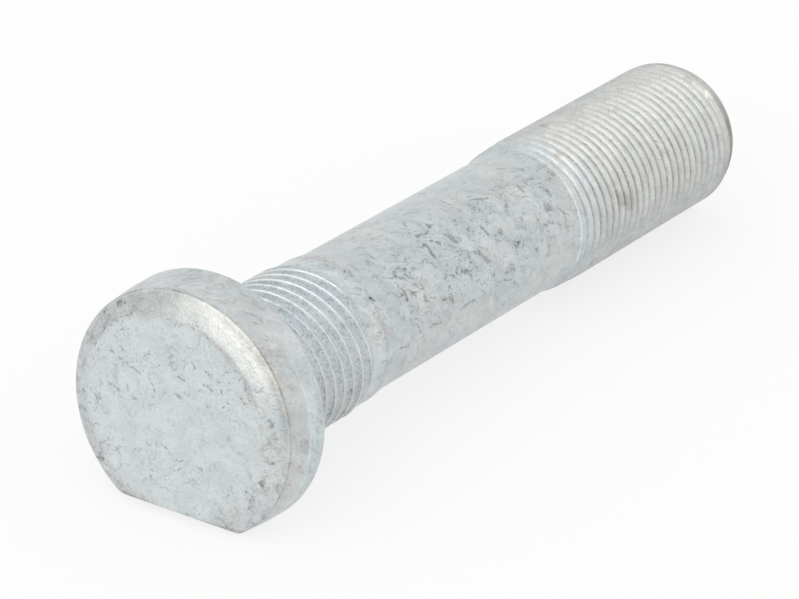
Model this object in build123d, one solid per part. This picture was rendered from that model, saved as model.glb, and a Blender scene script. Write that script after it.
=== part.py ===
from build123d import *
from math import atan2, degrees
import os

# Wheel stud: one forged and rolled steel piece, lying on the flat of its round head.
# All lengths are millimetres. Positions along the stud are measured from the seat,
# the underside of the head, and are positive toward the thread end.

# Head: a thick disc, widest at its seat, with a wide bevel round its face and one flat on its edge
head_d = 31.5
head_t = 7.5
side_draft = 0.35
side_bulge = 0.05
bevel_depth = 1.1
bevel_width = 3.05
bevel_bulge = 0.1
bevel_blend_r = 2.0
rim_round_r = 0.4
flat_depth = 2.75
flat_round_r = 0.8
lip_len = 1.4
lip_rise = 0.9

# Press zone under the head: a plain core with low helical ribs, then a taper
core_d = 19.36
neck_flare = 0.6
rib_h = 0.24
rib_starts = 6
rib_lead = 11.4
rib_base_w = 0.95
rib_crest_w = 0.40
rib_from = 1.6
rib_len = 16.8
rib_run_out = 0.9
rib_mark_pos = 11.3
rib_mark_angle = 230.2
core_len = 22.8
taper_len = 2.6

# Shank, then the rise of the rolled thread: steep to a knee, then gentle
shank_d = 18.7
shank_len = 38.8
rise_steep_len = 2.4
rise_gentle_len = 4.4
rise_knee_share = 0.66

# Thread M20 x 1.5, right hand: a plain cylinder at its major diameter
thread_d = 20.0
thread_len = 34.3
end_chamfer_len = 1.7
end_chamfer_depth = 0.8

# Places that follow from the sizes
head_r = head_d / 2
core_r = core_d / 2
shank_r = shank_d / 2
thread_r = thread_d / 2
rim_r = head_r - side_draft
rim_at = bevel_depth - head_t
flat_h = head_r - flat_depth
lip_from = lip_len - head_t
knee_r = shank_r + rise_knee_share * (thread_r - shank_r)
shank_from = core_len + taper_len
rise_from = shank_from + shank_len
knee_at = rise_from + rise_steep_len
thread_from = knee_at + rise_gentle_len
stud_end = thread_from + thread_len
chamfer_from = stud_end - end_chamfer_len

# Turned profile: radius first, then position along the stud, closed on the axis
profile_points = [
    (0, -head_t),
    (rim_r - bevel_width, -head_t),
    (rim_r, rim_at),
    (head_r, 0),
    (core_r + neck_flare, 0),
    (core_r, neck_flare),
    (core_r, core_len),
    (shank_r, shank_from),
    (shank_r, rise_from),
    (knee_r, knee_at),
    (thread_r, thread_from),
    (thread_r, chamfer_from),
    (thread_r - end_chamfer_depth, stud_end),
    (0, stud_end),
]
bulges = {1: bevel_bulge, 2: side_bulge}
profile_edges = []
for index, start in enumerate(profile_points):
    end = profile_points[(index + 1) % len(profile_points)]
    if index in bulges:
        run = Vector(*end) - Vector(*start)
        outward = Vector(run.Y, -run.X).normalized()
        middle = (Vector(*start) + Vector(*end)) * 0.5 + outward * bulges[index]
        profile_edges.append(ThreePointArc(start, middle, end))
    else:
        profile_edges.append(Line(start, end))
outline = make_face(Wire(profile_edges))
corner_rounds = {1: bevel_blend_r, 2: rim_round_r}
for index, radius in corner_rounds.items():
    corner = Vector(*profile_points[index])
    vertex = min(outline.vertices(), key=lambda v: (Vector(*tuple(v)) - corner).length)
    outline = fillet(vertex, radius)
stud = Rot(0, 0, 180) * revolve(Plane.XZ * outline, Axis.Z, 360)

# Flat on the head: what lies outside a D shape with two rounded corners is cut away
cut_spare = 1.0
d_clearance = 0.05
beyond_flat = Rectangle(head_r, 3 * head_r, align=(Align.MIN, Align.CENTER))
d_shape = Circle(head_r + d_clearance) - Pos(flat_h, 0) * beyond_flat
d_corners = [corner for corner in d_shape.vertices() if abs(corner.X - flat_h) < 0.01]
d_shape = fillet(d_corners, flat_round_r)
outside_d = Pos(flat_h - 2 * flat_round_r, 0) * beyond_flat - d_shape
stud = stud - Pos(0, 0, -head_t - cut_spare) * extrude(outside_d, head_t + 2 * cut_spare)

# Sloping lip from the flat to the face
lip_points = [
    (flat_h + lip_rise, lip_from + lip_len),
    (flat_h - 2 * lip_rise, lip_from - 2 * lip_len),
    (flat_h + lip_rise, lip_from - 2 * lip_len),
]
lip_section = Plane.XZ * make_face(Polyline(*lip_points, close=True))
stud = stud - extrude(lip_section, amount=head_r, both=True)

# One rib: a low bar with sloping sides on a right-hand helix, its root sunk in the core
root_sink = 0.3
over_run = 1.2
helix_from = rib_from - over_run
helix = Helix(pitch=rib_lead, height=rib_len + 2 * over_run, radius=core_r)
side_slope = (rib_base_w - rib_crest_w) / 2 / rib_h
half_crest = rib_crest_w / 2
half_root = rib_base_w / 2 + side_slope * root_sink
section_points = [
    (-root_sink, -half_root),
    (rib_h, -half_crest),
    (rib_h, half_crest),
    (-root_sink, half_root),
]
section_plane = Plane(origin=helix @ 0, x_dir=(1, 0, 0), z_dir=helix % 0)
section = section_plane * make_face(Polyline(*section_points, close=True))
bar = Pos(0, 0, helix_from) * sweep(section, path=helix, is_frenet=True)

# Both ends of the bar run down into the core along a cone
band_in_r = core_r - 2 * root_sink
band_low_r = core_r - root_sink / 2
band_out_r = core_r + 2 * rib_h
rib_to = rib_from + rib_len
band_points = [
    (band_in_r, rib_from - rib_run_out),
    (band_low_r, rib_from - rib_run_out),
    (band_out_r, rib_from + rib_run_out),
    (band_out_r, rib_to - rib_run_out),
    (band_low_r, rib_to + rib_run_out),
    (band_in_r, rib_to + rib_run_out),
]
band = revolve(Plane.XZ * make_face(Polyline(*band_points, close=True)), Axis.Z, 360)
rib = (bar & band).solids()[0]

# All the ribs, equally spaced round the core, joined to the stud
rib_angle = rib_mark_angle + (0 - rib_mark_pos) * 360 / rib_lead
turn_at_start = rib_angle + helix_from * 360 / rib_lead
ribs = [Rot(0, 0, turn_at_start + 360 * k / rib_starts) * rib for k in range(rib_starts)]
stud = stud.fuse(*ribs).solids()[0]

# At rest the stud touches the ground with the seat edge of its flat and its thread's end
rest_tilt = degrees(atan2(flat_h - thread_r, chamfer_from))
wheel_stud = Rot(0, 90 + rest_tilt, 0) * stud
wheel_stud.label = "wheel_stud"

os.makedirs("parts", exist_ok=True)
export_step(wheel_stud, "parts/wheel_stud.step")
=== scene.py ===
import bpy
from math import acos, atan2, ceil, cos, hypot, radians, sin, tan, tau
from mathutils import Matrix, Vector


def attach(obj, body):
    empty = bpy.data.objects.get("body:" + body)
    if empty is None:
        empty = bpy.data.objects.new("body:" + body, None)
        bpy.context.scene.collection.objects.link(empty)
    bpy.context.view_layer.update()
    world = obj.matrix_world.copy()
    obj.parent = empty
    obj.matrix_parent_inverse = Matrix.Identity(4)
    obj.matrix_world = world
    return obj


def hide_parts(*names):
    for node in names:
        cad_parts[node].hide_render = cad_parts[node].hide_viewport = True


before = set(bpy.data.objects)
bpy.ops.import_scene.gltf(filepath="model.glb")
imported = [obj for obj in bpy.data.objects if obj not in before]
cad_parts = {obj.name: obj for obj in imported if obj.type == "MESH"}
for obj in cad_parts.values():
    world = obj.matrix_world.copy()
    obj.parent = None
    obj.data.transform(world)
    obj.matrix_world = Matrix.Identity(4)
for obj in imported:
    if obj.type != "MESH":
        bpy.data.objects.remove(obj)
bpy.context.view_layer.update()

# Sizes of the stud in millimetres; positions run from the seat toward the thread end
MM = 0.001
HEAD_R = 15.75
HEAD_T = 7.5
RIM_R = 15.40
RIM_AT = -6.4
BEVEL_WIDTH = 3.05
BEVEL_BULGE = 0.06
BEVEL_BLEND = 0.8
CROWN_ROUND = 4.0
RIM_ROUND = 0.3
CREASE_AT = -2.9
CREASE_R = 15.68
CREASE_ROUND = 1.5
SEAT_ROUND = 0.25
FLAT_H = 13.0
FLAT_ROUND = 0.4
LIP_FROM = -6.1
LIP_RISE = 0.9
CORE_R = 9.68
NECK_FLARE = 0.6
NECK_ROUND = 0.2
RIB_H = 0.29
RIB_STARTS = 6
RIB_LEAD = 11.4
RIB_FROM = 1.6
RIB_TO = 18.4
RIB_RUN_IN = 0.3
RIB_RUN_OUT = 0.5
SHOULDER_AT = 21.9
CORE_LEN = 22.8
TAPER_LEN = 2.6
TAPER_ROUND = 3.0
SHANK_R = 9.35
RISE_FROM = 64.2
KNEE_AT = 66.6
KNEE_SHARE = 0.66
RISE_BEFORE_RING = 0.6
THREAD_FROM = 71.0
THREAD_R = 10.0
THREAD_DEPTH = 0.85
THREAD_PITCH = 1.5
GROOVE_FROM = 66.15
GROOVE_FULL = 67.4
THREAD_WAVE = 0.16
WAVE_LUMP = 2.2
GROOVE_FADE = 101.2
GROOVE_END = 105.2
CHAMFER_FROM = 103.6
STUD_END = 105.3
END_R = 9.2
REST_TILT = atan2(FLAT_H - THREAD_R, CHAMFER_FROM)
GROUND_Z = -FLAT_H * cos(REST_TILT)

# Stretches along the stud over which a form or a part of the finish sets in or fades
RING_FRONT = (GROOVE_FROM - 0.12, GROOVE_FROM + 0.05)
RING_BACK = (GROOVE_FROM + 0.15, GROOVE_FROM + 0.45)
FIRST_RIDGE = (GROOVE_FROM + 0.1, GROOVE_FROM + 0.4)
WAVES_START = (THREAD_FROM, THREAD_FROM + 2.0)
WAVES_STOP = (GROOVE_FADE, GROOVE_FADE + 3.0)
NEAR_THREAD = (44.0, 56.0)
GROOVES_PALE = (92.0, 100.5)

# Where one ridge of each helix crosses the line of angle zero, from the photograph
RIB_MARK = 6.861
THREAD_MARK = 67.766

# Ridge sections: half crest and half base as shares of the spacing, fall of the sides, gather of the rows
RIB_SECTION = {"Half Crest": 0.03, "Half Base": 0.145, "Fall": 1.0, "Row Gather": 1.6}
THREAD_SECTION = {"Half Crest": 0.12, "Half Base": 0.46, "Fall": 1.15, "Row Gather": 1.0}

# Colours of the zinc plate, its usual tone and roughness, and how its patterns are stirred and drawn out
COOL_ZINC = (0.603, 0.653, 0.662, 1.0)
PLAIN_ZINC = (0.629, 0.651, 0.650, 1.0)
BLUE_ZINC = (0.560, 0.625, 0.680, 1.0)
CREAM_ZINC = (0.665, 0.676, 0.656, 1.0)
BEVEL_GREY = (0.622, 0.640, 0.643, 1.0)
BROWN_EDGE = (0.50, 0.45, 0.39, 1.0)
# Straw colour of the patch near the thread's end, which is partly stained and partly a painted glint
STRAW_STAIN_AND_GLINT = (0.98, 0.84, 0.67, 1.0)
PLAIN_TONE = 1.045
PLAIN_ROUGHNESS = 0.38
MARK_WOBBLE = 1.2
STREAK_TWIST = 0.045
STREAK_DRAW = 0.75
STREAK_SWIRL = 3.0
RING_DRAW = 3.5
EDGE_SPREAD = 0.85
EDGE_WANDER = 2.6

# Shifts that keep one random field from lining up with another
FIELD_SHIFT = {
    "vein": (53.0, 29.0, 7.0),
    "vein_gap": (19.0, 2.0, 43.0),
    "large_fleck": (37.0, 11.0, 5.0),
    "face_fleck": (8.0, 91.0, 23.0),
    "patch": (61.0, 13.0, 47.0),
    "bloom": (3.0, 71.0, 9.0),
    "cream": (29.0, 3.0, 83.0),
    "rim_wear": (5.0, 17.0, 31.0),
}

# Sides of the stud, as across and up, toward which a part of the finish, or a painted highlight or shade,
# shows
RIGHT_SIDE = (-0.84, 0.545)
LIT_SIDE = (-0.6, 0.8)
BRIGHT_SIDE = (-0.64, 0.77)
FLECK_SIDE = (-0.75, 0.66)
TOP_SIDE = (0.66, 0.75)
STAIN_AND_SHADE_SIDE = (-0.95, -0.30)

# Larger marks: first point, last point and half width; on the face a point is across and up
FACE_MARKS = [
    ((10.9, 6.1), (8.3, 5.2), 0.22),
    ((8.3, 5.2), (5.3, 4.1), 0.28),
    ((4.0, 3.9), (3.2, 2.8), 0.20),
    ((3.2, 2.8), (3.2, 1.6), 0.18),
    ((10.2, 1.8), (8.3, 1.1), 0.24),
    ((7.7, 1.3), (5.8, 0.6), 0.22),
    ((10.8, 7.8), (9.7, 8.9), 0.30),
    ((9.2, 11.3), (8.3, 11.9), 0.50),
    ((-4.4, 7.0), (-4.0, 7.0), 0.35),
    ((-3.6, 5.4), (-5.0, 4.9), 0.30),
    ((-0.6, 2.8), (0.0, 2.8), 0.40),
    ((9.6, -5.7), (11.1, -6.8), 0.35),
    ((-12.9, 3.3), (-13.0, 2.6), 0.50),
    ((0.0, -5.4), (-1.9, -5.3), 0.22),
    ((-1.9, -5.3), (-3.7, -5.5), 0.24),
    ((2.7, -3.8), (1.2, -4.3), 0.20),
    ((7.1, 1.9), (6.7, 0.7), 0.24),
]
FACE_SMEARS = [
    ((8.7, 3.9), (8.9, 2.6), 0.7),
]

# On the shank and the thread a point is position along and angle in degrees
SHANK_MARKS = [
    ((36.7, 121), (36.5, 133), 0.48),
    ((26.6, 128), (29.6, 135), 0.24),
    ((31.2, 179), (34.0, 180), 0.24),
    ((38.5, 179), (41.5, 178), 0.22),
    ((50.0, 107), (52.5, 113), 0.28),
    ((58.6, 116), (58.8, 123), 0.35),
    ((62.7, 147), (64.2, 157), 0.28),
    ((47.4, 129), (47.8, 138), 0.35),
    ((36.8, 112), (39.2, 113), 0.30),
    ((25.2, 182), (27.0, 184), 0.22),
    ((47.0, 175), (50.2, 180), 0.20),
]
THREAD_SMEARS = [
    ((75.2, 75), (76.0, 79), 0.9),
    ((69.0, 110), (70.0, 113), 0.7),
    ((66.9, 117), (67.5, 122), 0.6),
    ((85.0, 100), (85.6, 102), 0.7),
    ((75.4, 165), (78.2, 174), 1.4),
    ((87.9, 151), (88.1, 156), 0.6),
    ((88.3, 168), (88.4, 172), 0.5),
    ((97.8, 194), (97.8, 197), 0.4),
    ((102.3, 108), (102.3, 112), 0.5),
]
# Straw patch near the thread's end: partly stained, partly a painted glint
END_STAINS_AND_GLINTS = [
    ((103.0, 128), (103.1, 132), 0.75),
]

# How deep a mark's line lies, and the share of its half width that is at full strength
FACE_MARK_SINK = 0.1
THREAD_MARK_SINK = 0.2
MARK_CORE = 0.3

# How finely the surface is laid out
COLUMNS = 128
RIB_ROWS = 12
THREAD_ROWS = 12
SPARE_ROWS = 3
RIB_BAND = (0.7, 20.0)
THREAD_BAND = (63.2, STUD_END)
OUTLINE_STEP = 0.6
END_STEP = 1.0
ARC_STEP = radians(12)
LEAST_SINE = 0.05
WELD = 0.002
CREASE_ANGLE = radians(50)

# Studio, in metres: white paper, one large warm lamp and the photograph's own camera
WHITE = (1.0, 1.0, 1.0, 1.0)
PAPER_COLOUR = (0.88, 0.88, 0.88, 1.0)
PAPER_HALF = 2.5
PAPER_GLOW = 0.78
LAMP_PLACE = Vector((-0.99, 0.0, 0.47))
LAMP_TARGET = Vector((0.045, 0.0, 0.0))
LAMP_SIZE = 1.05
LAMP_POWER = 3.1
LAMP_COLOUR = (1.0, 0.95, 0.87)
CAMERA_PLACE = (-0.38435, -0.27481, 0.24036)
CAMERA_RIGHT = (0.5549, -0.8315, 0.02646)
CAMERA_VIEW = (0.75577, 0.49056, -0.43377)
CAMERA_LENS = 204.88
SENSOR_WIDTH = 36.0
CLIP_RANGE = (0.01, 20.0)


class Bench:
    """Lays nodes in a tree and joins them; takes numbers and sockets alike."""

    def __init__(self, tree):
        self.tree = tree

    def put(self, kind, feeds=None, **settings):
        node = self.tree.nodes.new(kind)
        for name, value in settings.items():
            setattr(node, name, value)
        for key, value in (feeds or {}).items():
            self.feed(node.inputs[key], value)
        return node

    def feed(self, socket, value):
        if isinstance(value, bpy.types.NodeSocket):
            self.tree.links.new(value, socket)
        else:
            socket.default_value = value

    def math(self, operation, *values, clamp=False):
        node = self.put("ShaderNodeMath", operation=operation, use_clamp=clamp)
        for socket, value in zip(node.inputs, values):
            self.feed(socket, value)
        return node.outputs[0]

    def add(self, *values):
        total = values[0]
        for value in values[1:]:
            total = self.math("ADD", total, value)
        return total

    def mul(self, *values):
        product = values[0]
        for value in values[1:]:
            product = self.math("MULTIPLY", product, value)
        return product

    def blend(self, base, *parts):
        """Base plus the parts, each of them a product of masks and a weight."""
        return self.add(base, *(self.mul(*part) for part in parts))

    def opposite(self, mask):
        return self.math("SUBTRACT", 1.0, mask)

    def apart(self, value, middle):
        return self.math("ABSOLUTE", self.math("SUBTRACT", value, middle))

    def between(self, mask, off, on):
        """A value that goes from off to on as the mask goes from 0 to 1."""
        return self.ramp(mask, 0.0, 1.0, off, on)

    def ramp(self, value, low, high, out_low=0.0, out_high=1.0, smooth=False):
        node = self.put("ShaderNodeMapRange")
        if smooth:
            node.interpolation_type = "SMOOTHSTEP"
        feeds = (value, low, high, out_low, out_high)
        names = ("Value", "From Min", "From Max", "To Min", "To Max")
        for name, fed in zip(names, feeds):
            self.feed(node.inputs[name], fed)
        return node.outputs["Result"]

    def split(self, vector):
        node = self.put("ShaderNodeSeparateXYZ", {"Vector": vector})
        return node.outputs["X"], node.outputs["Y"], node.outputs["Z"]

    def join(self, x, y, z):
        return self.put("ShaderNodeCombineXYZ", {"X": x, "Y": y, "Z": z}).outputs["Vector"]

    def vector(self, operation, *values):
        node = self.put("ShaderNodeVectorMath", operation=operation)
        for socket, value in zip(node.inputs, values):
            self.feed(socket, value)
        return node.outputs["Value" if operation in ("LENGTH", "DOT_PRODUCT") else "Vector"]

    def scaled(self, vector, factor):
        feeds = {0: vector, "Scale": factor}
        return self.put("ShaderNodeVectorMath", feeds, operation="SCALE").outputs["Vector"]

    def noise(self, place, lump, detail, roughness):
        """Soft random fields, 0 to 1, with lumps about this many millimetres across."""
        feeds = {"Vector": place, "Scale": 1.0 / lump, "Detail": detail, "Roughness": roughness}
        return self.put("ShaderNodeTexNoise", feeds).outputs

    def field(self, place, lump, detail=2.0, roughness=0.5, shift=None):
        """One soft random field, 0 to 1."""
        if shift:
            place = self.vector("ADD", place, FIELD_SHIFT[shift])
        return self.noise(place, lump, detail, roughness)["Fac"]

    def sway(self, place, lump, detail=2.0, roughness=0.5):
        """One soft random field about zero."""
        return self.math("SUBTRACT", self.field(place, lump, detail, roughness), 0.5)

    def stirred(self, base, place, reach, lump, detail=2.0, roughness=0.5):
        """Base moved about at random, by half the reach at most."""
        fields = self.noise(place, lump, detail, roughness)["Color"]
        swirl = self.vector("SUBTRACT", fields, (0.5, 0.5, 0.5))
        return self.vector("MULTIPLY_ADD", swirl, (reach,) * 3, base)

    def tint(self, share, first, second):
        node = self.put("ShaderNodeMix", data_type="RGBA")
        for index, value in ((0, share), (6, first), (7, second)):
            self.feed(node.inputs[index], value)
        return node.outputs[2]


# Outline of the turned parts: position along the stud, radius and, at a corner, its round


def rounded_run(corners, step):
    """Points along straight runs, with an arc at each corner that has a round."""
    points = []

    def run_to(end):
        if points:
            start = points[-1]
            pieces = max(1, ceil((end - start).length / step))
            points.extend(start.lerp(end, k / pieces) for k in range(1, pieces + 1))
        else:
            points.append(end)

    for index, (along, radius, round_r) in enumerate(corners):
        here = Vector((along, radius))
        if not round_r or index in (0, len(corners) - 1):
            run_to(here)
            continue
        back = (Vector(corners[index - 1][:2]) - here).normalized()
        ahead = (Vector(corners[index + 1][:2]) - here).normalized()
        half = acos(max(-1.0, min(1.0, back.dot(ahead)))) / 2
        inset = round_r / tan(half)
        centre = here + (back + ahead).normalized() * round_r / sin(half)
        first = here + back * inset - centre
        turn = first.angle_signed(here + ahead * inset - centre)
        run_to(centre + first)
        pieces = max(2, ceil(abs(turn) / ARC_STEP))
        for k in range(1, pieces + 1):
            swung = Matrix.Rotation(-turn * k / pieces, 2) @ first
            points.append(centre + swung)
    return points


def head_outline():
    """Face, bevel, rim, drafted side, seat and neck, out to the start of the ribs."""
    bevel_depth = RIM_AT + HEAD_T
    chord = hypot(BEVEL_WIDTH, bevel_depth)
    crown_along = RIM_AT - bevel_depth / 2 - BEVEL_BULGE * BEVEL_WIDTH / chord
    crown_r = RIM_R - BEVEL_WIDTH / 2 + BEVEL_BULGE * bevel_depth / chord
    corners = [
        (-HEAD_T, 0.0, 0),
        (-HEAD_T, RIM_R - BEVEL_WIDTH, BEVEL_BLEND),
        (crown_along, crown_r, CROWN_ROUND),
        (RIM_AT, RIM_R, RIM_ROUND),
        (CREASE_AT, CREASE_R, CREASE_ROUND),
        (0.0, HEAD_R, SEAT_ROUND),
        (0.0, CORE_R + NECK_FLARE, NECK_ROUND),
        (NECK_FLARE, CORE_R, 0),
        (RIB_BAND[0], CORE_R, 0),
    ]
    return rounded_run(corners, OUTLINE_STEP)


def shank_outline():
    """Plain end of the press zone, taper and shank, up to the thread."""
    corners = [
        (RIB_BAND[1], CORE_R, 0),
        (CORE_LEN, CORE_R, TAPER_ROUND),
        (CORE_LEN + TAPER_LEN, SHANK_R, TAPER_ROUND),
        (THREAD_BAND[0], SHANK_R, 0),
    ]
    return rounded_run(corners, OUTLINE_STEP)


def end_outline():
    """End face of the thread, from its edge to the axis."""
    return rounded_run([(STUD_END, END_R, 0), (STUD_END, 0.0, 0)], END_STEP)


# Geometry Nodes: sheets of points hold position along, radius and angle until they are rolled up


def new_form(name, inputs):
    """A tree with these inputs and one surface to give out."""
    tree = bpy.data.node_groups.new(name, "GeometryNodeTree")
    for label, kind in inputs:
        tree.interface.new_socket(label, in_out="INPUT", socket_type="NodeSocket" + kind)
    tree.interface.new_socket("Surface", in_out="OUTPUT", socket_type="NodeSocketGeometry")
    bench = Bench(tree)
    entry = bench.put("NodeGroupInput").outputs
    leave = bench.put("NodeGroupOutput").inputs["Surface"]
    return bench, entry, leave


def counted_grid(bench, rows, columns):
    """A grid whose points know their row and column number."""
    last_row = bench.math("SUBTRACT", rows, 1)
    feeds = {
        "Size X": last_row,
        "Size Y": columns,
        "Vertices X": rows,
        "Vertices Y": bench.math("ADD", columns, 1),
    }
    grid = bench.put("GeometryNodeMeshGrid", feeds).outputs["Mesh"]
    x, y, _ = bench.split(bench.put("GeometryNodeInputPosition").outputs[0])
    row = bench.math("ROUND", bench.add(x, bench.mul(last_row, 0.5)))
    column = bench.math("ROUND", bench.add(y, bench.mul(columns, 0.5)))
    return grid, row, column


def turned_sheet_form():
    """A stretch of the outline, repeated at every angle."""
    inputs = [("Outline", "Geometry"), ("First Row", "Int"), ("Rows", "Int"), ("Columns", "Int")]
    bench, entry, leave = new_form("Turned sheet", inputs)
    grid, row, column = counted_grid(bench, entry["Rows"], entry["Columns"])
    sample = bench.put("GeometryNodeSampleIndex", data_type="FLOAT_VECTOR", domain="POINT")
    bench.feed(sample.inputs["Geometry"], entry["Outline"])
    bench.feed(sample.inputs["Value"], bench.put("GeometryNodeInputPosition").outputs[0])
    bench.feed(sample.inputs["Index"], bench.add(row, entry["First Row"]))
    along, radius, _ = bench.split(sample.outputs["Value"])
    angle = bench.mul(bench.math("DIVIDE", column, entry["Columns"]), tau)
    feeds = {"Geometry": grid, "Position": bench.join(along, radius, angle)}
    bench.feed(leave, bench.put("GeometryNodeSetPosition", feeds).outputs["Geometry"])
    return bench.tree


def screw_sheet_form():
    """A band whose rows follow a helix; its radius is the ridge height, 0 to 1."""
    inputs = [
        ("From", "Float"), ("To", "Float"), ("Mark", "Float"), ("Lead", "Float"), ("Starts", "Int"),
        ("Rows Per Ridge", "Int"), ("Rows", "Int"), ("Columns", "Int"),
        ("Half Crest", "Float"), ("Half Base", "Float"), ("Fall", "Float"), ("Row Gather", "Float"),
    ]
    bench, entry, leave = new_form("Screw sheet", inputs)
    grid, row, column = counted_grid(bench, entry["Rows"], entry["Columns"])
    spacing = bench.math("DIVIDE", entry["Lead"], entry["Starts"])
    row_step = bench.math("DIVIDE", spacing, entry["Rows Per Ridge"])
    below = bench.add(entry["Lead"], spacing, entry["Mark"])
    low_edge = bench.math("SUBTRACT", entry["From"], below)
    first = bench.math("FLOOR", bench.math("DIVIDE", low_edge, row_step))
    ridges = bench.math("DIVIDE", bench.add(first, row), entry["Rows Per Ridge"])
    nearest = bench.math("ROUND", ridges)
    aside = bench.mul(bench.math("SUBTRACT", ridges, nearest), 2.0)
    gathered = bench.math("POWER", bench.math("ABSOLUTE", aside), entry["Row Gather"])
    offset = bench.mul(bench.math("SIGN", aside), gathered, 0.5)
    unturned = bench.mul(bench.add(nearest, offset), spacing)
    turn = bench.math("DIVIDE", column, entry["Columns"])
    helix_at = bench.add(unturned, entry["Mark"], bench.mul(turn, entry["Lead"]))
    along = bench.math("MAXIMUM", entry["From"], bench.math("MINIMUM", helix_at, entry["To"]))
    from_crest = bench.mul(gathered, 0.5)
    fallen = bench.ramp(from_crest, entry["Half Crest"], entry["Half Base"])
    ridge = bench.opposite(bench.math("POWER", fallen, entry["Fall"]))
    place = bench.join(along, ridge, bench.mul(turn, tau))
    feeds = {"Geometry": grid, "Position": place}
    bench.feed(leave, bench.put("GeometryNodeSetPosition", feeds).outputs["Geometry"])
    return bench.tree


def rib_radius(bench, entry):
    """Core radius plus the ribs, which run out at both ends."""
    along, ridge, angle = bench.split(bench.put("GeometryNodeInputPosition").outputs[0])
    start = bench.ramp(along, RIB_FROM - RIB_RUN_OUT, RIB_FROM + RIB_RUN_IN)
    stop = bench.ramp(along, RIB_TO - RIB_RUN_IN, RIB_TO + RIB_RUN_OUT, 1.0, 0.0)
    height = bench.mul(ridge, start, stop, entry["Rib Height"])
    return bench.join(along, bench.add(CORE_R, height), angle)


def risen_radius(bench, along):
    """Radius of the crests as the thread rises out of the shank, steep and then gentle."""
    steep = bench.ramp(along, RISE_FROM, KNEE_AT, 0.0, KNEE_SHARE)
    gentle = bench.ramp(along, KNEE_AT, THREAD_FROM, 0.0, 1.0 - KNEE_SHARE)
    return bench.add(SHANK_R, bench.mul(bench.add(steep, gentle), THREAD_R - SHANK_R))


def thread_radius(bench, entry):
    """Thread that starts at a low ring on the rise and runs out on the chamfer at its end."""
    along, ridge, angle = bench.split(bench.put("GeometryNodeInputPosition").outputs[0])
    risen = risen_radius(bench, along)
    cone = bench.ramp(along, CHAMFER_FROM, STUD_END, THREAD_R, END_R)
    crest = bench.math("MINIMUM", risen, cone)
    before = bench.add(SHANK_R, bench.mul(bench.math("SUBTRACT", crest, SHANK_R), RISE_BEFORE_RING))
    deepest = bench.math("SUBTRACT", THREAD_R, entry["Thread Depth"])
    cut_in = bench.ramp(along, FIRST_RIDGE[0], GROOVE_FULL)
    cut_root = bench.add(before, bench.mul(cut_in, bench.math("SUBTRACT", deepest, before)))
    run_out = bench.ramp(along, GROOVE_FADE, GROOVE_END)
    root = bench.add(cut_root, bench.mul(run_out, bench.math("SUBTRACT", crest, cut_root)))
    ring = bench.mul(bench.ramp(along, *RING_FRONT), bench.ramp(along, *RING_BACK, 1.0, 0.0))
    started = bench.mul(ridge, bench.ramp(along, *FIRST_RIDGE))
    share = bench.math("MAXIMUM", started, ring)
    radius = bench.add(root, bench.mul(share, bench.math("SUBTRACT", crest, root)))
    wavy = bench.mul(bench.ramp(along, *WAVES_START), bench.ramp(along, *WAVES_STOP, 1.0, 0.0))
    at = bench.join(
        along,
        bench.mul(THREAD_R, bench.math("COSINE", angle)),
        bench.mul(THREAD_R, bench.math("SINE", angle)),
    )
    along = bench.add(along, bench.mul(bench.sway(at, WAVE_LUMP), wavy, THREAD_WAVE))
    return bench.join(along, radius, angle)


def roll_up(bench, sheets, entry):
    """Wrap the sheets round the axis, cut the flat, weld, tip to rest and scale."""
    joined = bench.put("GeometryNodeJoinGeometry")
    for sheet in sheets:
        bench.tree.links.new(sheet, joined.inputs["Geometry"])
    along, radius, angle = bench.split(bench.put("GeometryNodeInputPosition").outputs[0])
    below = bench.math("MAXIMUM", bench.mul(bench.math("SINE", angle), -1.0), LEAST_SINE)
    lip = bench.ramp(along, LIP_FROM, -HEAD_T, 0.0, entry["Lip Rise"])
    limit = bench.math("DIVIDE", bench.math("SUBTRACT", entry["Flat Height"], lip), below)
    kept = bench.math("SMOOTH_MIN", radius, limit, FLAT_ROUND)
    across = bench.mul(kept, bench.math("COSINE", angle))
    up = bench.mul(kept, bench.math("SINE", angle))
    feeds = {"Geometry": joined.outputs["Geometry"], "Position": bench.join(along, across, up)}
    wrapped = bench.put("GeometryNodeSetPosition", feeds).outputs["Geometry"]
    flipped = bench.put("GeometryNodeFlipFaces", {"Mesh": wrapped}).outputs["Mesh"]
    feeds = {"Geometry": flipped, "Distance": WELD}
    welded = bench.put("GeometryNodeMergeByDistance", feeds).outputs["Geometry"]
    feeds = {"Geometry": welded, "Scale": (MM, MM, MM), "Rotation": (0.0, REST_TILT, 0.0)}
    return bench.put("GeometryNodeTransform", feeds).outputs["Geometry"]


def smooth_but_creased(bench, surface):
    """Smooth shading, with a crease where two faces meet at a steep angle."""
    smooth = bench.put("GeometryNodeSetShadeSmooth", {"Geometry": surface}, domain="FACE")
    angle = bench.put("GeometryNodeInputMeshEdgeAngle").outputs[0]
    steep = bench.math("GREATER_THAN", angle, CREASE_ANGLE)
    feeds = {"Geometry": smooth.outputs["Geometry"], "Selection": steep, "Shade Smooth": False}
    return bench.put("GeometryNodeSetShadeSmooth", feeds, domain="EDGE").outputs["Geometry"]


def band_rows(band, lead, starts, rows):
    """Rows that fill a band whose every row climbs by one lead from first column to last."""
    return ceil((band[1] - band[0]) * starts * rows / lead) + (starts + 1) * rows + SPARE_ROWS


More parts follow.
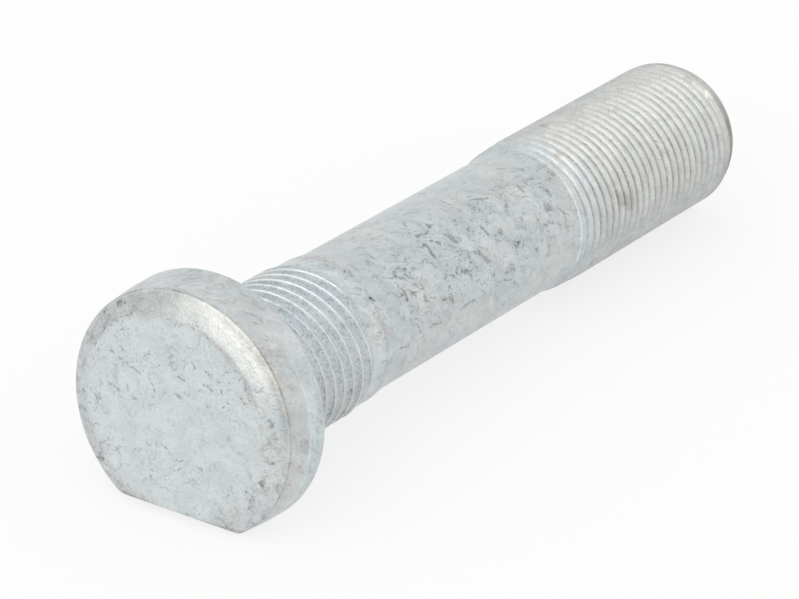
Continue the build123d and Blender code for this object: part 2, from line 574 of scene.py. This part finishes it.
def stud_form(runs):
    """The whole stud: turned parts, ribs and thread joined into one closed surface."""
    inputs = [
        ("Outline", "Geometry"), ("Columns", "Int"), ("Flat Height", "Float"), ("Lip Rise", "Float"),
        ("Rib Height", "Float"), ("Rib Lead", "Float"), ("Rib Starts", "Int"),
        ("Thread Pitch", "Float"), ("Thread Depth", "Float"),
        ("Finish", "Material"),
    ]
    bench, entry, leave = new_form("Wheel stud", inputs)
    turned_tree = turned_sheet_form()
    screw_tree = screw_sheet_form()
    sheets = []
    for first, rows in runs:
        feeds = {"Outline": entry["Outline"], "First Row": first, "Rows": rows}
        feeds["Columns"] = entry["Columns"]
        node = bench.put("GeometryNodeGroup", feeds, node_tree=turned_tree)
        sheets.append(node.outputs["Surface"])
    ribs = {"Mark": RIB_MARK, "Lead": entry["Rib Lead"], "Starts": entry["Rib Starts"], **RIB_SECTION}
    ribs["Rows Per Ridge"] = RIB_ROWS
    ribs["Rows"] = band_rows(RIB_BAND, RIB_LEAD, RIB_STARTS, RIB_ROWS)
    thread = {"Mark": THREAD_MARK, "Lead": entry["Thread Pitch"], "Starts": 1, **THREAD_SECTION}
    thread["Rows Per Ridge"] = THREAD_ROWS
    thread["Rows"] = band_rows(THREAD_BAND, THREAD_PITCH, 1, THREAD_ROWS)
    for band, feeds, law in ((RIB_BAND, ribs, rib_radius), (THREAD_BAND, thread, thread_radius)):
        feeds.update({"From": band[0], "To": band[1], "Columns": entry["Columns"]})
        node = bench.put("GeometryNodeGroup", feeds, node_tree=screw_tree)
        feeds = {"Geometry": node.outputs["Surface"], "Position": law(bench, entry)}
        sheets.append(bench.put("GeometryNodeSetPosition", feeds).outputs["Geometry"])
    surface = smooth_but_creased(bench, roll_up(bench, sheets, entry))
    plain = bench.put("GeometryNodeRealizeInstances", {"Geometry": surface}).outputs["Geometry"]
    feeds = {"Geometry": plain, "Material": entry["Finish"]}
    bench.feed(leave, bench.put("GeometryNodeSetMaterial", feeds).outputs["Geometry"])
    return bench.tree


def make_stud(finish):
    """Build the form on its outline points and keep the result as a plain mesh."""
    outline, runs = [], []
    for run in (head_outline(), shank_outline(), end_outline()):
        runs.append((len(outline), len(run)))
        outline.extend((along, radius, 0.0) for along, radius in run)
    mesh = bpy.data.meshes.new("stud_outline")
    mesh.from_pydata(outline, [], [])
    stud = bpy.data.objects.new("wheel_stud_plated", mesh)
    bpy.context.scene.collection.objects.link(stud)
    form = stud.modifiers.new("Form", "NODES")
    tree = stud_form(runs)
    form.node_group = tree
    values = {
        "Columns": COLUMNS, "Flat Height": FLAT_H, "Lip Rise": LIP_RISE, "Rib Height": RIB_H,
        "Rib Lead": RIB_LEAD, "Rib Starts": RIB_STARTS, "Thread Pitch": THREAD_PITCH,
        "Thread Depth": THREAD_DEPTH, "Finish": finish,
    }
    for item in tree.interface.items_tree:
        if item.in_out == "INPUT" and item.name in values:
            form[item.identifier] = values[item.name]
    depsgraph = bpy.context.evaluated_depsgraph_get()
    solid = bpy.data.meshes.new_from_object(stud.evaluated_get(depsgraph), depsgraph=depsgraph)
    stud.modifiers.clear()
    stud.data = solid
    solid.name = "wheel_stud_plated"
    return stud


# Finish: zinc plate over forged and rolled steel, laid out in millimetres on the stud


def stud_place(bench):
    """Place on the stud with the tilt of rest undone: along, across and up, in millimetres."""
    found = bench.put("ShaderNodeTexCoord").outputs["Object"]
    feeds = {"Vector": found, "Rotation": (0.0, -REST_TILT, 0.0), "Scale": (1 / MM, 1 / MM, 1 / MM)}
    return bench.put("ShaderNodeMapping", feeds, vector_type="POINT").outputs["Vector"]


def stroke_form():
    """Mask of one short mark: 1 on its line, 0 past its half width."""
    tree = bpy.data.node_groups.new("Mark", "ShaderNodeTree")
    for label, kind in (
        ("Place", "Vector"), ("Middle", "Vector"), ("Along", "Vector"),
        ("Half Length", "Float"), ("Half Width", "Float"),
    ):
        tree.interface.new_socket(label, in_out="INPUT", socket_type="NodeSocket" + kind)
    tree.interface.new_socket("Mask", in_out="OUTPUT", socket_type="NodeSocketFloat")
    bench = Bench(tree)
    entry = bench.put("NodeGroupInput").outputs
    away = bench.vector("SUBTRACT", entry["Place"], entry["Middle"])
    run = bench.vector("DOT_PRODUCT", away, entry["Along"])
    back = bench.mul(entry["Half Length"], -1.0)
    held = bench.math("MAXIMUM", back, bench.math("MINIMUM", run, entry["Half Length"]))
    line = bench.scaled(entry["Along"], held)
    off = bench.vector("LENGTH", bench.vector("SUBTRACT", away, line))
    mask = bench.ramp(off, bench.mul(entry["Half Width"], MARK_CORE), entry["Half Width"], 1.0, 0.0)
    bench.put("NodeGroupOutput", {"Mask": mask})
    return tree


def hand_marks(bench, place, marks, seat):
    """Soft mask of a list of marks, each where it lies on the stud."""
    tree = bpy.data.node_groups.get("Mark") or stroke_form()
    total = 0.0
    for first, last, half_width in marks:
        start, stop = seat(first), seat(last)
        feeds = {
            "Place": place,
            "Middle": (start + stop) / 2,
            "Along": (stop - start).normalized(),
            "Half Length": (stop - start).length / 2,
            "Half Width": half_width,
        }
        node = bench.put("ShaderNodeGroup", feeds, node_tree=tree)
        total = bench.math("MAXIMUM", total, node.outputs["Mask"])
    return total


def on_face(point):
    """A point of the face or its bevel, from across and up."""
    on_bevel = max(0.0, hypot(*point) - RIM_R + BEVEL_WIDTH)
    slope = (RIM_AT + HEAD_T) / BEVEL_WIDTH
    return Vector((-HEAD_T + FACE_MARK_SINK + on_bevel * slope, *point))


def on_shank(point):
    """A point of the shank or thread, from position along and angle in degrees."""
    along, angle = point
    radius = SHANK_R if along < KNEE_AT else THREAD_R - THREAD_MARK_SINK
    return Vector((along, radius * cos(radians(angle)), radius * sin(radians(angle))))


class Spot:
    """A place on the stud: along, across and up in millimetres, and its distance from the axis."""

    def __init__(self, bench, place):
        self.bench = bench
        self.place = place
        self.along, self.across, self.up = bench.split(place)
        self.radius = bench.vector("LENGTH", bench.join(0.0, self.across, self.up))

    def toward(self, side):
        """Distance toward a side, which is given as across and up."""
        return self.bench.vector("DOT_PRODUCT", self.place, (0.0, *side))

    def facing(self, side):
        """The same as a share of the distance from the axis: about 1 right on that side."""
        return self.bench.math("DIVIDE", self.toward(side), self.radius)


def ragged_radius(bench, spot, bent):
    """Distance from the axis made uneven, so that the bevel's inner edge wanders."""
    spread = bench.ramp(spot.across, 3.0, 10.0, 0.0, EDGE_SPREAD)
    drawn_in = bench.math("SUBTRACT", Spot(bench, bent).radius, spread)
    return bench.add(drawn_in, bench.mul(bench.sway(spot.place, 3.0), EDGE_WANDER))


def head_zones(bench, spot, bent):
    """Side, rim, bevel, face and lip of the head, and the parts of its round that differ."""
    along, across, up = spot.along, spot.across, spot.up
    side = bench.mul(
        bench.ramp(along, RIM_AT, RIM_AT + 0.3),
        bench.ramp(along, 0.0, 0.5, 1.0, 0.0),
    )
    right_side = bench.mul(side, bench.ramp(across, -8.0, -13.0))
    side_front = bench.mul(right_side, bench.ramp(along, CREASE_AT + 0.1, CREASE_AT - 0.3))
    rim_along = bench.math("SUBTRACT", along, RIM_AT)
    rim_out = bench.math("SUBTRACT", spot.radius, RIM_R)
    rim_off = bench.vector("LENGTH", bench.join(rim_along, rim_out, 0.0))
    rim = bench.ramp(rim_off, 0.07, 0.27, 1.0, 0.0)
    ahead = bench.ramp(along, RIM_AT, RIM_AT - 0.2)
    on_front = bench.ramp(along, RIM_AT - 0.1, RIM_AT - 0.3)
    bevel_from = RIM_R - BEVEL_WIDTH
    edge_radius = ragged_radius(bench, spot, bent)
    edge_off = bench.apart(edge_radius, bevel_from - 0.2)
    bevel = bench.mul(ahead, bench.ramp(edge_radius, bevel_from - 0.15, bevel_from + 0.30))
    lit = bench.ramp(spot.toward(LIT_SIDE), 2.0, 12.0)
    lit_bevel = bench.mul(bevel, lit)
    lip_up = LIP_RISE - FLAT_H
    return {
        "side": side,
        "right_side": right_side,
        "side_front": side_front,
        "side_back": bench.math("SUBTRACT", right_side, side_front, clamp=True),
        "crease": bench.mul(right_side, bench.ramp(bench.apart(along, CREASE_AT), 0.06, 0.24, 1.0, 0.0)),
        "rim": rim,
        "rim_side": bench.ramp(rim_off, 0.2, 1.3, 1.0, 0.0),
        "rim_front": bench.mul(rim, ahead),
        "bevel": bevel,
        "lit_bevel": lit_bevel,
        "dull_bevel": bench.math("SUBTRACT", bevel, lit_bevel),
        "face": bench.mul(on_front, bench.opposite(bevel)),
        "face_edge": bench.mul(ahead, bench.ramp(edge_off, 0.15, 0.50, 1.0, 0.0)),
        "lip": bench.mul(
            bench.ramp(up, lip_up + 0.1, lip_up - 0.1),
            bench.ramp(along, LIP_FROM + 0.2, LIP_FROM - 0.1),
        ),
        "lit": lit,
        "unlit": bench.opposite(lit),
        "lower_lit": bench.mul(lit, bench.ramp(up, 10.0, 5.0)),
        "left": bench.mul(bench.ramp(across, -3.0, 4.0), bench.ramp(up, 2.0, 9.0, 0.3, 1.0)),
        "right": bench.ramp(spot.facing(RIGHT_SIDE), 0.80, 0.97),
    }


def press_zones(bench, spot):
    """Ribs, with their crests, feet and valleys, then the shoulder and the taper."""
    along, radius = spot.along, spot.radius
    rib = bench.mul(
        bench.ramp(along, RIB_FROM - 0.8, RIB_FROM, smooth=True),
        bench.ramp(along, RIB_TO - 0.2, RIB_TO + 1.2, 1.0, 0.0, smooth=True),
    )
    crest = bench.mul(rib, bench.ramp(radius, CORE_R + 0.10, CORE_R + RIB_H - 0.03))
    taper_off = bench.apart(along, CORE_LEN + 0.8 * TAPER_LEN)
    return {
        "rib": rib,
        "crest": crest,
        "valley": bench.math("SUBTRACT", rib, crest, clamp=True),
        "foot": bench.mul(
            rib,
            bench.ramp(radius, CORE_R + 0.01, CORE_R + 0.05),
            bench.ramp(radius, CORE_R + 0.10, CORE_R + 0.18, 1.0, 0.0),
        ),
        "shoulder": bench.ramp(bench.apart(along, SHOULDER_AT), 0.1, 0.5, 1.0, 0.0),
        "taper": bench.ramp(taper_off, 1.0, 2.6, 1.0, 0.0),
    }


def shank_zones(bench, spot):
    """The plain shank, its flecked band and its part near the thread, and what lies low."""
    return {
        "shank": bench.mul(
            bench.ramp(spot.along, RIB_TO, CORE_LEN, smooth=True),
            bench.ramp(spot.along, GROOVE_FROM - 0.2, GROOVE_FROM + 0.3, 1.0, 0.0),
        ),
        "fleck_band": bench.ramp(bench.math("ABSOLUTE", spot.facing(FLECK_SIDE)), 0.68, 0.95),
        "near_thread": bench.ramp(spot.along, *NEAR_THREAD),
        # Lower side of the stud, where the ribs get painted shade and their painted crest highlight fades
        "low": bench.ramp(spot.up, 6.5, -5.0, smooth=True),
    }


def thread_zones(bench, spot):
    """The thread, its first ring, its grooves, where they run out, and its end."""
    along = spot.along
    cut = bench.ramp(along, GROOVE_FROM - 0.1, GROOVE_FROM + 0.2)
    end = bench.ramp(along, CHAMFER_FROM - 0.8, CHAMFER_FROM + 0.9, smooth=True)
    below_crest = bench.math("SUBTRACT", risen_radius(bench, along), spot.radius)
    return {
        "thread": bench.ramp(along, GROOVE_FROM, THREAD_FROM + 3.0, smooth=True),
        "cut": cut,
        # First ring of the thread on one side, which gets a painted highlight
        "start": bench.mul(
            bench.ramp(bench.apart(along, GROOVE_FROM + 0.05), 0.12, 0.28, 1.0, 0.0),
            bench.ramp(spot.facing(RIGHT_SIDE), 0.35, 0.75),
        ),
        # Grooves of the thread, which get painted shade
        "groove": bench.mul(
            bench.ramp(below_crest, 0.3, THREAD_DEPTH),
            bench.ramp(along, GROOVE_FROM + 0.3, GROOVE_FROM + 1.3),
            bench.opposite(end),
        ),
        # Painted shade: the thread darkened on the side away from its bright side, where the lamp's
        # highlight falls
        "dull": bench.mul(
            cut,
            bench.ramp(spot.toward(BRIGHT_SIDE), 0.96 * THREAD_R, 0.48 * THREAD_R),
        ),
        "top": bench.ramp(spot.facing(TOP_SIDE), 0.2, 0.8),
        "run_out": bench.ramp(along, *GROOVES_PALE),
        "end": end,
        # End of the thread on one side, stained brown and darkened with painted shade
        "dark_end": bench.mul(
            bench.ramp(along, CHAMFER_FROM - 1.9, CHAMFER_FROM + 0.5, smooth=True),
            bench.ramp(spot.facing(STAIN_AND_SHADE_SIDE), 0.35, 0.75),
        ),
        "end_face": bench.ramp(along, STUD_END - 0.1, STUD_END - 0.03),
    }


def stud_zones(bench, place, bent):
    """Masks of the stud's zones, 0 to 1, from the place along it and round its axis."""
    spot = Spot(bench, place)
    return {
        **head_zones(bench, spot, bent),
        **press_zones(bench, spot),
        **shank_zones(bench, spot),
        **thread_zones(bench, spot),
    }


def ring_place(bench, place):
    """Place laid out round the head: fine across the bevel, drawn out along its ring."""
    spot = Spot(bench, place)
    round_head = bench.mul(bench.math("ARCTAN2", spot.across, spot.up), RIM_R)
    return bench.join(bench.mul(spot.radius, RING_DRAW), round_head, 0.0)


def streak_place(bench, place):
    """Place with the grain of the drawn bar in it: drawn out along the stud with a slight twist."""
    along, _, _ = bench.split(place)
    feeds = {"Vector": place, "Angle": bench.mul(along, -STREAK_TWIST)}
    turned = bench.put("ShaderNodeVectorRotate", feeds, rotation_type="X_AXIS").outputs["Vector"]
    drawn = bench.vector("MULTIPLY", turned, (STREAK_DRAW, 1.0, 1.0))
    return bench.stirred(drawn, place, STREAK_SWIRL, 2.4)


def vein_layer(bench, place, lump, half_width):
    """Fine broken veins that wind round patches of the plate, as contour lines of a soft field."""
    off_line = bench.apart(bench.field(place, lump, 3.0, 0.55, "vein"), 0.5)
    kept = bench.ramp(bench.field(place, 1.5, shift="vein_gap"), 0.47, 0.60)
    return bench.mul(bench.ramp(off_line, 0.0, half_width, 1.0, 0.0), kept)


def fleck_layer(bench, place, lump, low, high, shift=None):
    """Ragged dark flecks, about one lump across."""
    return bench.ramp(bench.field(place, lump, 3.5, 0.62, shift), low, high, smooth=True)


def mark_layers(bench, place, bent):
    """Nicks, smears and stains that have a place of their own, with frayed edges; the straw patch near
    the thread's end is partly a painted glint.
    """
    fray = bench.sway(place, 0.35)
    # Lists on the face and on the shank, strength of the fraying, and range over which the mask rises
    kinds = {
        "marks": (FACE_MARKS, SHANK_MARKS, 1.4, 0.20, 0.90),
        "smears": (FACE_SMEARS, THREAD_SMEARS, 1.2, 0.10, 0.90),
        "stain": ((), END_STAINS_AND_GLINTS, 0.8, 0.10, 1.0),
    }
    layer = {}
    for name, (face_list, shank_list, fraying, low, high) in kinds.items():
        on_head = hand_marks(bench, bent, face_list, on_face)
        drawn = bench.math("MAXIMUM", on_head, hand_marks(bench, bent, shank_list, on_shank))
        layer[name] = bench.ramp(bench.add(drawn, bench.mul(fray, fraying)), low, high, smooth=True)
    return layer


def plate_layers(bench, place, bent, valley):
    """Random layers of the plate: mottle, flecks, veins, drifts of hue, grime and wear; some also set the
    strength of painted shade and highlights.
    """
    streak = streak_place(bench, place)
    grain = bench.sway(place, 0.30)
    ring = bench.sway(ring_place(bench, bent), 1.8, 4.0, 0.6)
    cluster = bench.ramp(bench.field(place, 4.5), 0.40, 0.60, 0.25, 1.0)
    face_cluster = bench.ramp(cluster, 0.25, 1.0, 0.12, 1.0)
    face_flecks = fleck_layer(bench, streak, 0.90, 0.595, 0.645, "face_fleck")
    return {
        "blotch": bench.sway(streak, 1.8, 4.0, 0.6),
        "grain": grain,
        "patch": bench.ramp(bench.field(streak, 2.4, 4.0, 0.55, "patch"), 0.48, 0.53),
        "veins": vein_layer(bench, streak, 1.7, 0.022),
        "small_flecks": bench.mul(fleck_layer(bench, streak, 0.55, 0.55, 0.69), cluster),
        "large_flecks": fleck_layer(bench, streak, 1.3, 0.56, 0.68, "large_fleck"),
        "face_flecks": bench.mul(face_flecks, face_cluster),
        "rough_spots": bench.mul(valley, bench.ramp(grain, 0.0, 0.14)),
        "drift": bench.ramp(bench.field(place, 7.0, 3.0), 0.42, 0.58),
        "bloom": bench.ramp(bench.field(place, 3.6, shift="bloom"), 0.54, 0.68),
        "cream": bench.ramp(bench.field(place, 5.0, 3.0, shift="cream"), 0.40, 0.58, 0.72, 1.0),
        "ring": ring,
        "dirt": bench.ramp(ring, 0.02, 0.16),
        "uneven": bench.ramp(bench.field(place, 1.5), 0.35, 0.65, 0.55, 1.15),
        "rib_wear": bench.ramp(bench.field(place, 3.6, 3.0), 0.38, 0.60, 0.20, 1.25),
        "rim_wear": bench.ramp(bench.field(place, 2.2, shift="rim_wear"), 0.42, 0.60),
        "groove_dirt": bench.ramp(bench.field(place, 2.6, 3.0), 0.38, 0.62, 0.65, 1.25),
    }


def fleck_share(bench, zone, uncut):
    """How strongly flecks and veins show in each zone."""
    return bench.blend(
        bench.between(uncut, 0.35, 0.85),
        (zone["face"], 0.10),
        (zone["bevel"], bench.between(zone["lit"], 0.45, -0.75)),
        (zone["bevel"], zone["lower_lit"], 0.65),
        (zone["bevel"], zone["right"], 0.30),
        (zone["taper"], -0.50),
        (zone["shank"], bench.between(zone["near_thread"], 0.38, 0.16)),
        (zone["shank"], bench.between(zone["fleck_band"], -0.55, 0.14)),
    )


def mottle_tone(bench, zone, layer):
    """Lighter and darker parts of the plate that its own layers make."""
    uncut = bench.opposite(bench.math("MAXIMUM", zone["cut"], zone["rib"]))
    flecked = fleck_share(bench, zone, uncut)
    mottled = bench.blend(
        0.55,
        (zone["face"], -0.37),
        (zone["shank"], bench.between(zone["fleck_band"], -0.12, 0.06)),
        (zone["lit_bevel"], -0.30),
        (zone["taper"], -0.25),
    )
    return bench.blend(
        PLAIN_TONE,
        (layer["blotch"], mottled),
        (layer["grain"], 0.26),
        (bench.math("SUBTRACT", layer["patch"], 0.5), uncut, 0.055),
        (layer["small_flecks"], flecked, bench.between(zone["shank"], -0.25, -0.38)),
        (layer["large_flecks"], flecked, bench.between(zone["face"], -0.25, -0.06)),
        (layer["veins"], flecked, bench.between(zone["shank"], -0.24, -0.30)),
        (layer["face_flecks"], zone["face"], -0.40),
        (layer["rough_spots"], -0.30),
        (layer["marks"], -0.30),
        (layer["smears"], -0.11),
        # Painted glint, partly stained: the straw patch near the thread's end made lighter
        (layer["stain"], 0.36),
    )


def head_tone(bench, zone, layer):
    """Lighter and darker parts of the head, much of it painted light and shade: the lamp's highlight on
    the bevel dimmed toward the rim and at its lower right, the bevel darker on the left and away from the
    lamp, painted shade on the lip and beside the lit bevel on the face, and painted highlights along the
    crease and the front of the rim on the right.
    """
    bevel, lit, right = zone["bevel"], zone["lit"], zone["right"]
    uneven, dirt = layer["uneven"], layer["dirt"]
    return bench.blend(
        0.0,
        (zone["side"], -0.105),
        (zone["right_side"], 0.07),
        (zone["side_front"], 0.02),
        # Painted highlight along the crease of the head's side
        (zone["crease"], uneven, 0.09),
        (zone["face"], 0.025),
        # Painted shade on the lip along the flat, which faces down; its beige-brown tint is its own
        # colour
        (zone["lip"], -0.12),
        # Painted shade: the bevel a little darker where the lamp's highlight falls, lighter elsewhere
        (bevel, bench.between(lit, 0.02, -0.08)),
        # Painted shade: the bevel darker on its left
        (bevel, zone["left"], -0.20),
        # Painted shade dimming the bevel's highlight at its lower right and toward the rim
        (bevel, right, -0.01),
        (bevel, right, zone["rim_side"], uneven, -0.24),
        # Grime spots on the bevel, made much darker away from the lamp's highlight, which is painted
        # shade
        (bevel, dirt, bench.ramp(lit, 0.4, 1.0, -0.34, -0.05)),
        (bevel, layer["ring"], bench.ramp(lit, 0.4, 1.0, 0.50, 0.30)),
        # Painted shade: the lamp-lit bevel darker toward the rim
        (zone["lit_bevel"], zone["rim_side"], uneven, -0.13),
        # Grime along the face edge away from the lamp, partly painted shade
        (zone["face_edge"], dirt, zone["unlit"], -0.16),
        # Painted shade, with a brown tint: a darker band on the face beside the lamp-lit bevel
        (zone["face_edge"], lit, uneven, -0.10),
        (zone["rim"], -0.13),
        # The rim darker in patches on the lamp's side
        (zone["rim"], lit, layer["rim_wear"], -0.13),
        # Painted highlight along the front of the rim on the right
        (zone["rim_front"], right, uneven, 0.30),
    )


def press_tone(bench, zone, layer):
    """Lighter and darker parts of the ribs, the shoulder and the shank: painted shade on the ribs' lower
    side and at their feet, and a painted highlight, patchy like wear, on their crests above.
    """
    low, uneven = zone["low"], layer["uneven"]
    return bench.blend(
        0.0,
        # Ribs darker, more so on the low side, which is painted shade
        (zone["rib"], bench.between(low, -0.05, -0.08)),
        (zone["rib"], zone["fleck_band"], 0.03),
        # Partly wear and partly painted highlight: the rib crests lighter in patches, most on the upper
        # side, fading out low down
        (zone["crest"], layer["rib_wear"], bench.ramp(low, 0.0, 0.7, 0.215, 0.0)),
        (zone["foot"], uneven, bench.ramp(low, 0.0, 0.6, -0.09, -0.20)),
        # Painted shade at the foot of each rib, deeper on the low side
        (zone["shoulder"], uneven, -0.08),
        (zone["shank"], -0.10),
    )


def thread_tone(bench, zone, layer):
    """Lighter and darker parts of the thread: painted shade in its grooves, stronger toward the top and
    fading as they run out, painted shade away from its bright side, a painted highlight on its first
    ring, and an end stained brown and darker on one side, partly painted shade.
    """
    run_out = zone["run_out"]
    # Painted shade in the grooves, uneven like grime, stronger toward the top, weaker where the grooves
    # run out low down
    groove_shade = bench.mul(
        layer["groove_dirt"],
        bench.between(run_out, -0.38, -0.22),
        bench.between(zone["top"], 1.0, 1.3),
        bench.ramp(bench.mul(run_out, zone["low"]), 0.2, 0.7, 1.0, 0.4),
    )
    return bench.blend(
        0.0,
        (zone["thread"], -0.04),
        # Painted shade on the thread away from its bright side
        (zone["dull"], -0.13),
        (zone["groove"], groove_shade),
        # Painted highlight on the first ring of the thread
        (zone["start"], 0.18),
        (zone["end"], -0.27),
        # Partly stained brown and partly painted shade: the thread's end darker on one side
        (zone["dark_end"], layer["uneven"], -0.20),
        (zone["end_face"], 0.20),
    )


def plate_hue(bench, zone, layer):
    """Hue of the plate: cool, plain and creamy parts, then blue and brown ones; the cream and blue on the
    lamp-lit bevel are a painted colour of its highlight.
    """
    lit, rim, uneven = zone["lit"], zone["rim"], layer["uneven"]
    off_face = bench.between(zone["face"], 1.0, 0.35)
    blue = bench.blend(
        0.0,
        # Painted highlight colour: blue at the lower end of the lamp-lit bevel
        (zone["bevel"], zone["lower_lit"], 0.12),
        (zone["side_back"], 0.08),
        (zone["taper"], 0.22),
        (zone["rib"], zone["fleck_band"], 0.30),
        (zone["thread"], zone["low"], 0.07),
    )
    brown = bench.blend(
        0.0,
        # Brown tint of the band of painted shade beside the lamp-lit bevel
        (zone["face_edge"], lit, uneven, 0.22),
        (rim, lit, layer["rim_wear"], 0.30),
        (rim, 0.25),
        (zone["right"], zone["rim_side"], uneven, 0.16),
        (zone["side_front"], uneven, 0.28),
        (zone["lip"], 0.3),
        (zone["shoulder"], uneven, 0.22),
        (zone["end"], 0.32),
        (zone["dark_end"], uneven, 0.25),
        (layer["smears"], 0.22),
    )
    tints = [
        (bench.mul(layer["drift"], off_face), PLAIN_ZINC),
        (bench.mul(layer["bloom"], off_face, 0.45), BLUE_ZINC),
        (bench.mul(zone["thread"], layer["cream"]), CREAM_ZINC),
        (bench.mul(zone["dull_bevel"], 0.7), BEVEL_GREY),
        # Painted highlight colour: the lamp-lit bevel creamy, less so low down
        (bench.mul(zone["lit_bevel"], bench.between(zone["lower_lit"], 0.6, 0.1)), CREAM_ZINC),
        (blue, BLUE_ZINC),
        (brown, BROWN_EDGE),
        (bench.mul(layer["stain"], 0.7), STRAW_STAIN_AND_GLINT),
    ]
    hue = COOL_ZINC
    for share, colour in tints:
        hue = bench.tint(share, hue, colour)
    return hue


def plate_roughness(bench, zone, layer):
    """Duller in the valleys and on the marks, smoother on the worn crests and on the straw patch near the
    thread's end, which is partly a painted glint.
    """
    return bench.blend(
        PLAIN_ROUGHNESS,
        (layer["blotch"], 0.25),
        (layer["marks"], 0.15),
        (layer["stain"], -0.12),
        (zone["valley"], 0.08),
        (zone["crest"], -0.06),
        (zone["thread"], 0.04),
        (zone["bevel"], 0.03),
    )


def plate_height(bench, zone, layer):
    """Height of the fine relief, in millimetres."""
    return bench.blend(
        0.0,
        (layer["blotch"], 0.05),
        (layer["grain"], bench.between(zone["bevel"], 0.050, 0.030)),
        (layer["small_flecks"], -0.012),
        (layer["large_flecks"], -0.015),
        (layer["rough_spots"], -0.03),
        (layer["marks"], -0.02),
    )


def zinc_finish():
    """Satin zinc plate: cool grey, mottled and flecked, duller between the ribs, creamy on the thread,
    with painted highlights and painted shade on the head, ribs and thread.
    """
    finish = bpy.data.materials.new("zinc_plate")
    finish.use_nodes = True
    finish.node_tree.nodes.clear()
    bench = Bench(finish.node_tree)
    place = stud_place(bench)
    bent = bench.stirred(place, place, MARK_WOBBLE, 0.8, 3.0, 0.65)
    zone = stud_zones(bench, place, bent)
    layer = {
        **mark_layers(bench, place, bent),
        **plate_layers(bench, place, bent, zone["valley"]),
    }
    shades = (mottle_tone, head_tone, press_tone, thread_tone)
    tone = bench.add(*(shade(bench, zone, layer) for shade in shades))
    feeds = {"Strength": 1.0, "Distance": MM, "Height": plate_height(bench, zone, layer)}
    bump = bench.put("ShaderNodeBump", feeds)
    feeds = {
        "Base Color": bench.scaled(plate_hue(bench, zone, layer), tone),
        "Metallic": 1.0,
        "Roughness": plate_roughness(bench, zone, layer),
        "Normal": bump.outputs["Normal"],
    }
    shader = bench.put("ShaderNodeBsdfPrincipled", feeds)
    bench.put("ShaderNodeOutputMaterial", {"Surface": shader.outputs["BSDF"]})
    return finish


# Studio


def seen_direct(bench):
    """1 for rays that see the paper itself or its mirror image."""
    path = bench.put("ShaderNodeLightPath").outputs
    glossy = bench.math("MAXIMUM", path["Is Glossy Ray"], path["Is Transmission Ray"])
    return bench.math("MAXIMUM", path["Is Camera Ray"], glossy)


def make_floor():
    """White paper under the stud, which glows only where the camera or a mirror image sees it."""
    z = GROUND_Z * MM
    corners = [(x * PAPER_HALF, y * PAPER_HALF, z) for x, y in ((-1, -1), (1, -1), (1, 1), (-1, 1))]
    mesh = bpy.data.meshes.new("floor")
    mesh.from_pydata(corners, [], [(0, 1, 2, 3)])
    floor_piece = bpy.data.objects.new("floor", mesh)
    bpy.context.scene.collection.objects.link(floor_piece)
    paper = bpy.data.materials.new("white_paper")
    paper.use_nodes = True
    paper.node_tree.nodes.clear()
    bench = Bench(paper.node_tree)
    matt = bench.put("ShaderNodeBsdfDiffuse", {"Color": PAPER_COLOUR})
    glow = bench.put("ShaderNodeEmission", {"Color": WHITE, "Strength": 1.0})
    share = bench.mul(seen_direct(bench), PAPER_GLOW)
    mix = bench.put("ShaderNodeMixShader", {0: share, 1: matt.outputs[0], 2: glow.outputs[0]})
    bench.put("ShaderNodeOutputMaterial", {"Surface": mix.outputs[0]})
    mesh.materials.append(paper)


def make_world():
    """Even white light from all round."""
    world = bpy.data.worlds.new("studio")
    bpy.context.scene.world = world
    world.use_nodes = True
    world.node_tree.nodes.clear()
    bench = Bench(world.node_tree)
    sky = bench.put("ShaderNodeBackground", {"Color": WHITE, "Strength": 1.0})
    bench.put("ShaderNodeOutputWorld", {"Surface": sky.outputs[0]})


def make_lamp():
    """A large warm lamp in front of the head."""
    data = bpy.data.lights.new("front_window", "AREA")
    data.shape = "DISK"
    data.size = LAMP_SIZE
    data.energy = LAMP_POWER
    data.color = LAMP_COLOUR
    lamp = bpy.data.objects.new("front_window", data)
    bpy.context.scene.collection.objects.link(lamp)
    lamp.location = LAMP_PLACE
    lamp.rotation_euler = (LAMP_TARGET - LAMP_PLACE).to_track_quat("-Z", "Y").to_euler()


def make_camera():
    """The photograph's own view, found from the stud's outline and thread."""
    data = bpy.data.cameras.new("photo_camera")
    data.sensor_fit = "HORIZONTAL"
    data.sensor_width = SENSOR_WIDTH
    data.lens = CAMERA_LENS
    data.clip_start, data.clip_end = CLIP_RANGE
    camera = bpy.data.objects.new("photo_camera", data)
    bpy.context.scene.collection.objects.link(camera)
    view = Vector(CAMERA_VIEW).normalized()
    up = Vector(CAMERA_RIGHT).normalized().cross(view)
    right = view.cross(up)
    turn = Matrix((right, up, -view)).transposed().to_4x4()
    camera.matrix_world = Matrix.Translation(CAMERA_PLACE) @ turn
    bpy.context.scene.camera = camera


make_floor()
make_world()
make_lamp()
make_camera()
stud = make_stud(zinc_finish())
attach(stud, "root")
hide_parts("wheel_stud")

view = bpy.context.scene.view_settings
view.view_transform = "Standard"
